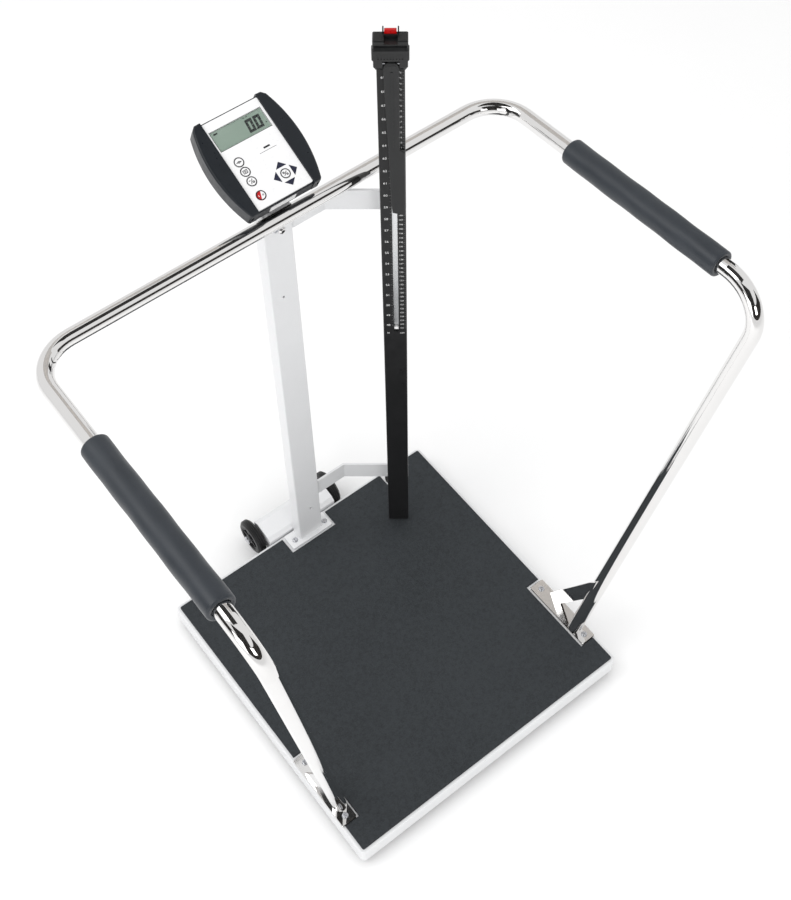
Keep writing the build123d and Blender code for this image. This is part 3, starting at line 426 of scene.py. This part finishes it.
# seven-segment digits on the module under the glass
def digit(cx, cy, w, h, t, segs, slant=0.10):
    out = []
    def add(pts):
        out.append([(cx + x + (y) * slant, cy + y) for x, y in pts])
    hw, hh, g = w / 2, h / 2, 0.22
    hseg = lambda y: [(-hw, y - t / 2), (hw, y - t / 2), (hw, y + t / 2), (-hw, y + t / 2)]
    vseg = lambda x, y0, y1: [(x - t / 2, y0), (x + t / 2, y0), (x + t / 2, y1), (x - t / 2, y1)]
    if "a" in segs: add(hseg(hh - t / 2))
    if "g" in segs: add(hseg(0))
    if "d" in segs: add(hseg(-hh + t / 2))
    if "b" in segs: add(vseg(hw - t / 2, g, hh - t - g))
    if "c" in segs: add(vseg(hw - t / 2, -hh + t + g, -g))
    if "f" in segs: add(vseg(-hw + t / 2, g, hh - t - g))
    if "e" in segs: add(vseg(-hw + t / 2, -hh + t + g, -g))
    return out


LCD_H = -1.8
parts = []
for cx in (16.0, 29.4):
    for pts in digit(cx, 41.4, 11.2, 20.4, 4.0, "abcdef"):
        parts.append(prism(pts, on_face, LCD_H, LCD_H + 0.08))
parts.append(prism([(21.6, 31.2), (23.9, 31.2), (23.9, 33.6), (21.6, 33.6)], on_face, LCD_H, LCD_H + 0.08))
for x0, y0, w, h in ((-39, 52.6, 6.6, 2.3), (38.2, 34.6, 1.9, 1.4), (11.4, 55.0, 2.6, 1.1), (16.4, 55.0, 2.6, 1.1)):
    parts.append(prism([(x0, y0), (x0 + w, y0), (x0 + w, y0 + h), (x0, y0 + h)], on_face, LCD_H, LCD_H + 0.08))
join_meshes("display_segments", parts, M["print_dark"], "indicator")

KEYS = {"upper": (-30.4, 1.4), "middle": (-30.4, -15.0), "lower": (-30.4, -31.4), "power": (-30.4, -55.2), "enter": (18.5, -44.6)}
K1 = 0.07


def bar(x0, y0, x1, y1, w):
    return prism(bar_pts(x0, y0, x1, y1, w), on_key, 0, K1)


for k, (x, y) in KEYS.items():
    parts = [ring(x, y, 6.0, 7.45, on_key, 0.0, K1, 80)]
    if k == "upper":      # an arrow each way through a dot
        parts += [bar(x - 4.2, y, x - 1.9, y, 1.15), bar(x + 1.9, y, x + 4.2, y, 1.15), ring(x, y, 0.6, 1.8, on_key, 0, K1, 28),
                  prism([(x - 2.4, y - 1.5), (x - 1.4, y), (x - 2.4, y + 1.5)], on_key, 0, K1), prism([(x + 2.4, y - 1.5), (x + 2.4, y + 1.5), (x + 1.4, y)], on_key, 0, K1)]
    elif k == "middle":   # a small box with lines
        parts += [bar(x - 3.4, y + 2.4, x + 3.4, y + 2.4, 1.05), bar(x - 3.4, y - 2.4, x + 3.4, y - 2.4, 1.05), bar(x - 3.1, y - 2.4, x - 3.1, y + 2.4, 1.05),
                  bar(x + 3.1, y - 2.4, x + 3.1, y + 2.4, 1.05), bar(x - 1.6, y + 0.7, x + 1.6, y + 0.7, 0.9), bar(x - 1.6, y - 0.7, x + 1.6, y - 0.7, 0.9)]
    elif k == "lower":    # a slash between a bar and a ring
        parts += [bar(x - 2.3, y - 3.6, x + 2.3, y + 3.6, 1.05), bar(x - 3.8, y + 1.8, x - 1.0, y + 1.8, 1.15), ring(x + 2.3, y - 1.7, 0.6, 1.8, on_key, 0, K1, 28)]
    elif k == "enter":
        parts += [bar(x - 2.9, y - 2.9, x + 2.9, y + 2.9, 1.05), ring(x - 2.2, y + 1.9, 0.5, 1.7, on_key, 0, K1, 28), ring(x + 2.2, y - 1.9, 0.5, 1.7, on_key, 0, K1, 28)]
    join_meshes("key_print_" + k, parts, M["print_dark"], "button_" + k)
# power key: right half white
half = circle_pts(*KEYS["power"], 6.35, 40, -math.pi / 2 - 0.35, math.pi / 2 - 0.35, close=True)
join_meshes("key_power_half", [prism(half, on_key, 0.0, 0.04)], M["key_white"], "button_power")
px, py = KEYS["power"]
join_meshes("key_power_marks", [bar(px - 3.4, py + 1.5, px - 3.4, py - 0.9, 0.9)], M["key_white"], "button_power")
join_meshes("key_power_ring", [ring(px + 3.0, py - 0.6, 0.7, 1.4, on_key, 0.04, K1 + 0.02, 28)], M["print_dark"], "button_power")
parts = [prism(bar_pts(12.6, 2.8, 23.0, 2.8, 2.7), on_face, 0.0, 0.05), prism(bar_pts(3.0, -2.2, 31.2, -2.2, 0.55), on_face, 0.0, 0.05)]
for x0, y0, x1, y1 in ((-44.4, 58.55, 43.2, 58.55), (-44.4, 26.05, 43.2, 26.05), (-44.1, 25.8, -44.1, 58.8), (42.9, 25.8, 42.9, 58.8)):
    parts.append(prism(bar_pts(x0, y0, x1, y1, 0.6), on_face, 0.0, 0.05))
join_meshes("face_marks", parts, M["print_dark"], "indicator")


# -------------------------------------------------------------------- grips
def sleeve(name, cad, p0, p1, r_in, r_out, body):
    """Foam sleeve: soft rounded ends, slight waviness where it was pushed on."""
    ax = (p1 - p0)
    L = ax.length
    ax.normalize()
    side = ax.cross(Vector((0, 0, 1))).normalized()
    up = side.cross(ax).normalized()
    prof = []
    e = 0.0032
    nA = 7
    prof.append((0.0045, r_in))
    prof.append((0.0010, r_in + 0.0006))
    prof.append((0.0002, r_in + 0.0022))
    for i in range(nA + 1):
        a = math.pi / 2 * i / nA
        prof.append((e - e * math.cos(a) * 1.0, r_out - e + e * math.sin(a)))
    n_mid = 56
    for i in range(1, n_mid):
        prof.append((e + (L - 2 * e) * i / n_mid, r_out))
    tail = [(L - s, r) for s, r in reversed(prof[: 3 + nA + 1])]
    prof += tail
    n = 72
    vs, fs = [], []
    for j, (s, r) in enumerate(prof):
        for i in range(n):
            a = 2 * math.pi * i / n
            rr = r
            if r > r_in + 0.003:
                rr = r - 0.00035 + 0.00022 * math.sin(s * 95 + 2 * math.sin(a)) + 0.00018 * math.sin(3 * a + s * 40)
                rr = min(rr, r_out)
            vs.append(p0 + ax * s + (side * math.cos(a) + up * math.sin(a)) * rr)
    m = len(prof)
    for j in range(m - 1):
        for i in range(n):
            fs.append((j * n + i, j * n + (i + 1) % n, (j + 1) * n + (i + 1) % n, (j + 1) * n + i))
    # inner wall closes the sleeve
    for i in range(n):
        fs.append(((m - 1) * n + i, (m - 1) * n + (i + 1) % n, (i + 1) % n, i))
    o = mesh_object(name, vs, fs, M["grip_foam"], body)
    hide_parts(cad)
    return o


def side_point(sx, y):
    t = (y - 247.6) / (-309.0 - 247.6)
    return Vector((sx * (410 + t * 5), y, 978 + t * 32)) * MM


sleeve("foam_grip_left", "grip_left", side_point(-1, 68), side_point(-1, -231), 0.01305, 0.0209, "base")
sleeve("foam_grip_right", "grip_right", side_point(1, 82), side_point(1, -219), 0.01305, 0.0209, "base")

# button-head screw high on the column's front face, and a cap in the hole beside it
def lathe_front(cx, cz, y, prof, n=56):
    """Closed turned shape on the column's front face; prof is (radius, height) in millimetres, centre to centre."""
    vs, fs, rings = [], [], []
    for r, h in prof:
        if r == 0:
            rings.append([len(vs)])
            vs.append(Vector((cx, y - h, cz)) * MM)
        else:
            rings.append(list(range(len(vs), len(vs) + n)))
            vs += [Vector((cx + r * math.cos(2 * math.pi * i / n), y - h, cz + r * math.sin(2 * math.pi * i / n))) * MM for i in range(n)]
    for a, b_ in zip(rings, rings[1:]):
        for i in range(n):
            k = (i + 1) % n
            if len(a) == 1:
                fs.append((a[0], b_[i], b_[k]))
            elif len(b_) == 1:
                fs.append((a[i], b_[0], a[k]))
            else:
                fs.append((a[i], b_[i], b_[k], a[k]))
    return vs, fs


v, f = lathe_front(10.5, 933.0, 262.0, [(0, 1.2), (2.7, 1.2), (2.95, 3.5), (3.9, 3.2), (4.9, 2.6), (5.7, 1.7), (6.1, 0.8), (6.2, 0.0), (0, 0.0)])
mesh_object("column_front_screw", v, f, M["chrome"], "base", smooth=False)
# painted shade: a black disc on the floor of the screw's socket stands in for the shade inside the recess
v, f = lathe_front(10.5, 933.0, 260.8, [(0, 0.3), (2.62, 0.3), (2.62, 0.0), (0, 0.0)])
mesh_object("column_front_screw_socket", v, f, M["black_plastic"], "base", smooth=False)
v, f = lathe_front(0.0, 941.0, 262.0, [(0, 0.15), (2.3, 0.15), (2.8, 0.0), (0, 0.0)])
mesh_object("column_hole_cap", v, f, M["white_paint"], "base", smooth=False)

# ------------------------------------------------------------ stage and light
bpy.ops.mesh.primitive_plane_add(size=40, location=(0, 0, 0))
floor = bpy.context.object
floor.name = "floor"
fm, nt, b = new_mat("floor_paper")
v = coords(nt)
nt.links.new(mixc(nt, ramp(nt, noise(nt, v, 0.8, 3.0, 0.5), 0, 1), (0.93, 0.93, 0.93), (0.95, 0.95, 0.95)), b.inputs["Base Color"])
b.inputs["Roughness"].default_value = 0.9
b.inputs["Specular IOR Level"].default_value = 0.15
floor.data.materials.append(fm)

world = bpy.data.worlds.new("studio")
bpy.context.scene.world = world
world.use_nodes = True
wn = world.node_tree
wn.nodes.clear()
wo = wn.nodes.new("ShaderNodeOutputWorld")
bg = wn.nodes.new("ShaderNodeBackground")
bg.inputs["Color"].default_value = (1.0, 1.0, 1.0, 1)
bg.inputs["Strength"].default_value = 0.88
wn.links.new(bg.outputs[0], wo.inputs[0])
bpy.context.scene.view_settings.view_transform = "Standard"
bpy.context.scene.view_settings.look = "None"


def card(name, loc, target, size, tone=0.01):
    """Studio flag: a dark board that gives the polished tube its thin dark lines."""
    w, h = size
    me = bpy.data.meshes.new(name)
    me.from_pydata([(-w / 2, -h / 2, 0), (w / 2, -h / 2, 0), (w / 2, h / 2, 0), (-w / 2, h / 2, 0)], [], [(0, 1, 2, 3)])
    m_, n_, b_ = new_mat(name)
    n_.links.new(mixc(n_, ramp(n_, noise(n_, coords(n_), 2.0), 0, 1), (tone, tone, tone), (tone * 1.3, tone * 1.2, tone * 1.1)), b_.inputs["Base Color"])
    b_.inputs["Roughness"].default_value = 0.9
    me.materials.append(m_)
    o = bpy.data.objects.new(name, me)
    bpy.context.scene.collection.objects.link(o)
    o.location = loc
    o.rotation_euler = (Vector(target) - Vector(loc)).to_track_quat("-Z", "Y").to_euler()
    o.visible_shadow = False
    o.visible_diffuse = False
    o.visible_camera = False
    return o


card("flag_right", (3.4, 1.2, 1.5), (0, 0, 0.9), (0.7, 3.2))
card("flag_left", (-3.6, 1.6, 1.1), (0, 0, 0.8), (0.8, 2.6))
card("flag_overhead", (-0.15, 0.1, 3.7), (-0.15, 0.1, 0), (2.2, 1.9), 0.02)
card("flag_behind_view", (-2.3, -3.1, 4.3), (-0.3, -0.2, 0.9), (4.6, 3.8), 0.018)
card("grey_board", (1.45, 1.85, 3.4), (0, 0, 0.4), (3.0, 1.7), 0.46)


def horizon(name, r, z0, z1, a0, a1, tone):
    """Dark front of the studio, from one azimuth to another, seen only in reflections."""
    n = 48
    az = [math.radians(a0 + (a1 - a0) * i / n) for i in range(n + 1)]
    vs = [(r * math.cos(a), r * math.sin(a), z) for z in (z0, z1) for a in az]
    fs = [(i, i + 1, n + 2 + i, n + 1 + i) for i in range(n)]
    me = bpy.data.meshes.new(name)
    me.from_pydata(vs, [], fs)
    m_, n_, b_ = new_mat(name)
    n_.links.new(mixc(n_, ramp(n_, noise(n_, coords(n_), 0.6), 0, 1), (tone, tone * 0.88, tone * 0.80), (tone * 1.8, tone * 1.55, tone * 1.35)), b_.inputs["Base Color"])
    b_.inputs["Roughness"].default_value = 0.9
    me.materials.append(m_)
    o = bpy.data.objects.new(name, me)
    bpy.context.scene.collection.objects.link(o)
    o.visible_shadow = False
    o.visible_diffuse = False
    o.visible_camera = False
    return o


horizon("studio_front", 5.0, 0.95, 3.5, 150, 330, 0.016)


def area(name, loc, target, size, power, color=(1, 1, 1)):
    l = bpy.data.lights.new(name, "AREA")
    l.shape = "RECTANGLE"
    l.size, l.size_y = size
    l.energy = power
    l.color = color
    o = bpy.data.objects.new(name, l)
    o.location = loc
    d = Vector(target) - Vector(loc)
    o.rotation_euler = d.to_track_quat("-Z", "Y").to_euler()
    bpy.context.scene.collection.objects.link(o)
    return o


area("key_light", (-2.2, 0.9, 3.9), (0, 0, 0.4), (2.2, 2.2), 36)
area("side_fill", (-3.4, -1.6, 1.6), (0, 0.2, 0.6), (1.8, 1.8), 22)
area("front_fill", (-0.6, -3.6, 2.1), (0, 0.2, 0.6), (1.3, 1.0), 16)
top = area("top_light", (0.2, 0.3, 4.2), (0, 0, 0.3), (3.0, 3.0), 16)
top.visible_glossy = False

# ------------------------------------------------------------------- camera
cam = bpy.data.cameras.new("camera")
cam_o = bpy.data.objects.new("camera", cam)
bpy.context.scene.collection.objects.link(cam_o)
right = Vector((0.793166, -0.608766, -0.017074))
down = Vector((-0.489702, -0.62087, -0.612138))
fwd = Vector((0.362048, 0.493888, -0.790567))
cam_o.matrix_world = Matrix((
    (right.x, -down.x, -fwd.x, -0.72490),
    (right.y, -down.y, -fwd.y, -0.98767),
    (right.z, -down.z, -fwd.z, 2.54989),
    (0, 0, 0, 1)))
cam.sensor_fit = "AUTO"
cam.sensor_width = 36.0
cam.lens = 36.0 * 1472.64 / 900.0
cam.shift_x = (395.5 - 384.0) / 900.0
cam.shift_y = -(450.0 - 330.0) / 900.0
cam.dof.use_dof = False
cam.clip_start = 0.05
cam.clip_end = 60
bpy.context.scene.camera = cam_o
